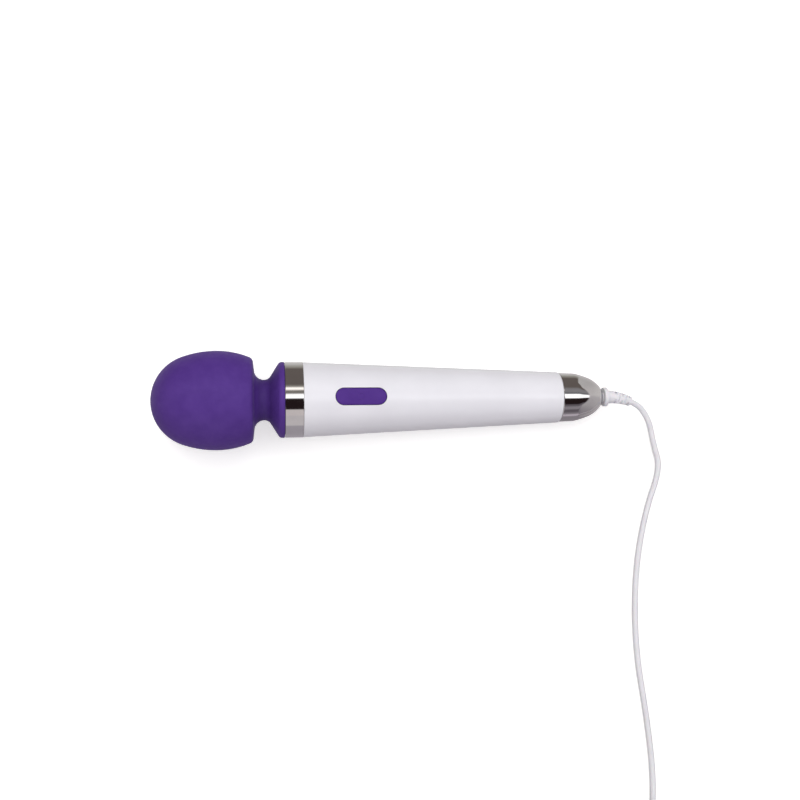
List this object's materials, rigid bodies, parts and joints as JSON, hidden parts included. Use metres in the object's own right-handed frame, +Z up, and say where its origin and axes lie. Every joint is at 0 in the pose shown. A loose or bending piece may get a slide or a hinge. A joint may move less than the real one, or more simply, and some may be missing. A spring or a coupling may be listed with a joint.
{
  "type": "handheld wand massager",
  "caption": "Handheld wand massager: round silicone head on a flexible neck, chrome collar, tapered white handle with one button, chrome end cap and a corded mains plug.",
  "frame": {"origin": "on the table the wand lies on, at the middle of the wand's own footprint, cord left out", "axes": "+X from the head towards the tail, +Z up through the button side, +Y to the side away from the cord"},
  "size_m": [0.357, 0.3879, 0.0669],
  "materials": {
    "silicone": "matte soft-touch silicone, purple",
    "silicone_neck": "matte silicone, darker purple",
    "button_silicone": "soft purple key pad",
    "white_gloss": "glossy white moulding",
    "chrome": "bright chrome plate",
    "core_plastic": "black glass-filled moulding",
    "mount_plastic": "grey moulding",
    "spring_steel": "oiled spring wire",
    "shaft_steel": "ground",
    "bearing_steel": "polished race",
    "weight_brass": "turned",
    "zinc_screw": "zinc plated",
    "motor_steel": "zinc plated can",
    "magnet_ferrite": "pressed ferrite",
    "armature_steel": "laminated, varnished",
    "copper": "bare copper",
    "carbon": "pressed carbon",
    "bushing_bronze": "sintered bronze",
    "damper_rubber": "soft black rubber",
    "circuit_board": "green solder mask",
    "chip_black": "moulded epoxy",
    "switch_black": "moulded",
    "plunger_cream": "acetal",
    "capacitor_blue": "sleeved",
    "fuse_glass": "clear tube",
    "terminal_green": "moulded",
    "lead_sleeve": "red wire sleeve",
    "cord_white": "smooth white jacket",
    "clamp_plastic": "moulded",
    "plug_white": "moulded",
    "blade_nickel": "nickel plated",
    "tie_white": "hook-and-loop strap"
  },
  "bodies": {
    "handle": {"neck_mount": "mount_plastic", "collar_ring": "chrome", "motor_can": "motor_steel", "motor_magnets": "magnet_ferrite", "motor_end_bell": "mount_plastic", "motor_bushings": "bushing_bronze", "motor_brushes": "carbon", "motor_damper_front": "damper_rubber", "motor_damper_rear": "damper_rubber", "handle_shell_top": "white_gloss", "handle_shell_bottom": "white_gloss", "shell_screws": "zinc_screw", "button_switch": "switch_black", "control_board": "circuit_board", "control_board_screws": "zinc_screw", "control_chips": "chip_black", "power_board": "circuit_board", "power_board_screws": "zinc_screw", "filter_capacitor": "capacitor_blue", "fuse": "fuse_glass", "bridge_rectifier": "chip_black", "terminal_block": "terminal_green", "motor_leads": "lead_sleeve", "control_leads": "lead_sleeve", "mains_leads": "lead_sleeve", "cord_end": "cord_white", "cord_clamp_bar": "clamp_plastic", "cord_clamp_screws": "zinc_screw", "end_cap": "chrome", "strain_relief": "cord_white", "cord_run": "cord_white", "cord_coil": "cord_white", "cord_tail": "cord_white", "cord_tie": "tie_white", "plug_strain_relief": "plug_white", "plug_body": "plug_white", "plug_blades": "blade_nickel"},
    "neck": {"neck_boot": "silicone_neck", "neck_spring": "spring_steel"},
    "head": {"head_cover": "silicone", "head_core_front": "core_plastic", "head_core_rear": "core_plastic", "head_screws": "zinc_screw", "head_bearing_front": "bearing_steel", "head_bearing_rear": "bearing_steel"},
    "eccentric": {"eccentric_shaft": "shaft_steel", "eccentric_weight": "weight_brass", "weight_set_screw": "zinc_screw"},
    "rotor": {"motor_shaft": "shaft_steel", "armature": "armature_steel", "commutator": "copper", "drive_coupling": "shaft_steel", "drive_spring": "spring_steel"},
    "button": {"button_pad": "button_silicone"},
    "plunger": {"switch_plunger": "plunger_cream"}
  },
  "joints": [
    {"name": "neck_pitch", "type": "hinge", "parent": "handle", "child": "neck", "pos_m": [-0.08016, 0, 0.03131], "axis": [0, 1, 0], "range_deg": [-10, 10], "stiffness_Nm_per_rad": 4, "deforming": ["neck_boot", "neck_spring", "drive_spring"]},
    {"name": "neck_yaw", "type": "hinge", "parent": "neck", "child": "head", "pos_m": [-0.08016, 0, 0.03131], "axis": [0.0671, 0, 0.9977], "range_deg": [-10, 10], "stiffness_Nm_per_rad": 4, "deforming": ["neck_boot", "neck_spring", "drive_spring"]},
    {"name": "eccentric_spin", "type": "hinge", "parent": "head", "child": "eccentric", "pos_m": [-0.11757, 0, 0.03382], "axis": [0.9977, 0, -0.0671], "continuous": true},
    {"name": "rotor_spin", "type": "hinge", "parent": "handle", "child": "rotor", "pos_m": [-0.03077, 0, 0.02798], "axis": [0.9977, 0, -0.0671], "continuous": true},
    {"name": "button_press", "type": "slide", "parent": "handle", "child": "button", "axis": [-0.0671, 0, -0.9977], "range_m": [0, 0.0006], "stiffness_N_per_m": 1500},
    {"name": "plunger_press", "type": "slide", "parent": "handle", "child": "plunger", "axis": [-0.0671, 0, -0.9977], "range_m": [0, 0.0006]}
  ],
  "couplings": [
    {"joint": "rotor_spin", "follows": "eccentric_spin", "ratio": 1},
    {"joint": "plunger_press", "follows": "button_press", "ratio": 1}
  ]
}
